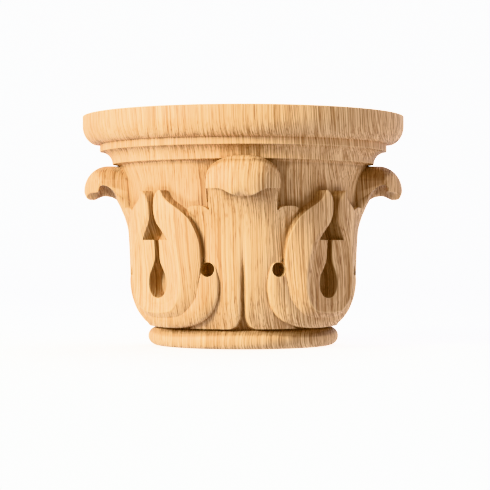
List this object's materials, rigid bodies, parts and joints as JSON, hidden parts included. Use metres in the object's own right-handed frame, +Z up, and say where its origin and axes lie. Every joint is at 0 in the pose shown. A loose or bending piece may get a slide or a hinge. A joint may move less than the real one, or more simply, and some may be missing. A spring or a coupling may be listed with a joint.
{
  "type": "column capital",
  "caption": "Half-round carved oak column capital with acanthus leaves, curled leaf tips, a moulded abacus and a foot ring; its flat back goes against a wall.",
  "frame": {"origin": "middle of the capital's bounding box, at the level of its underside", "axes": "+Z up, the carved front faces -Y, the flat back faces +Y, +X to the right when seen from the front"},
  "size_m": [0.168, 0.084, 0.119],
  "materials": {
    "oak": "sanded bare oak, satin"
  },
  "bodies": {
    "root": {"capital": "oak"}
  },
  "joints": []
}
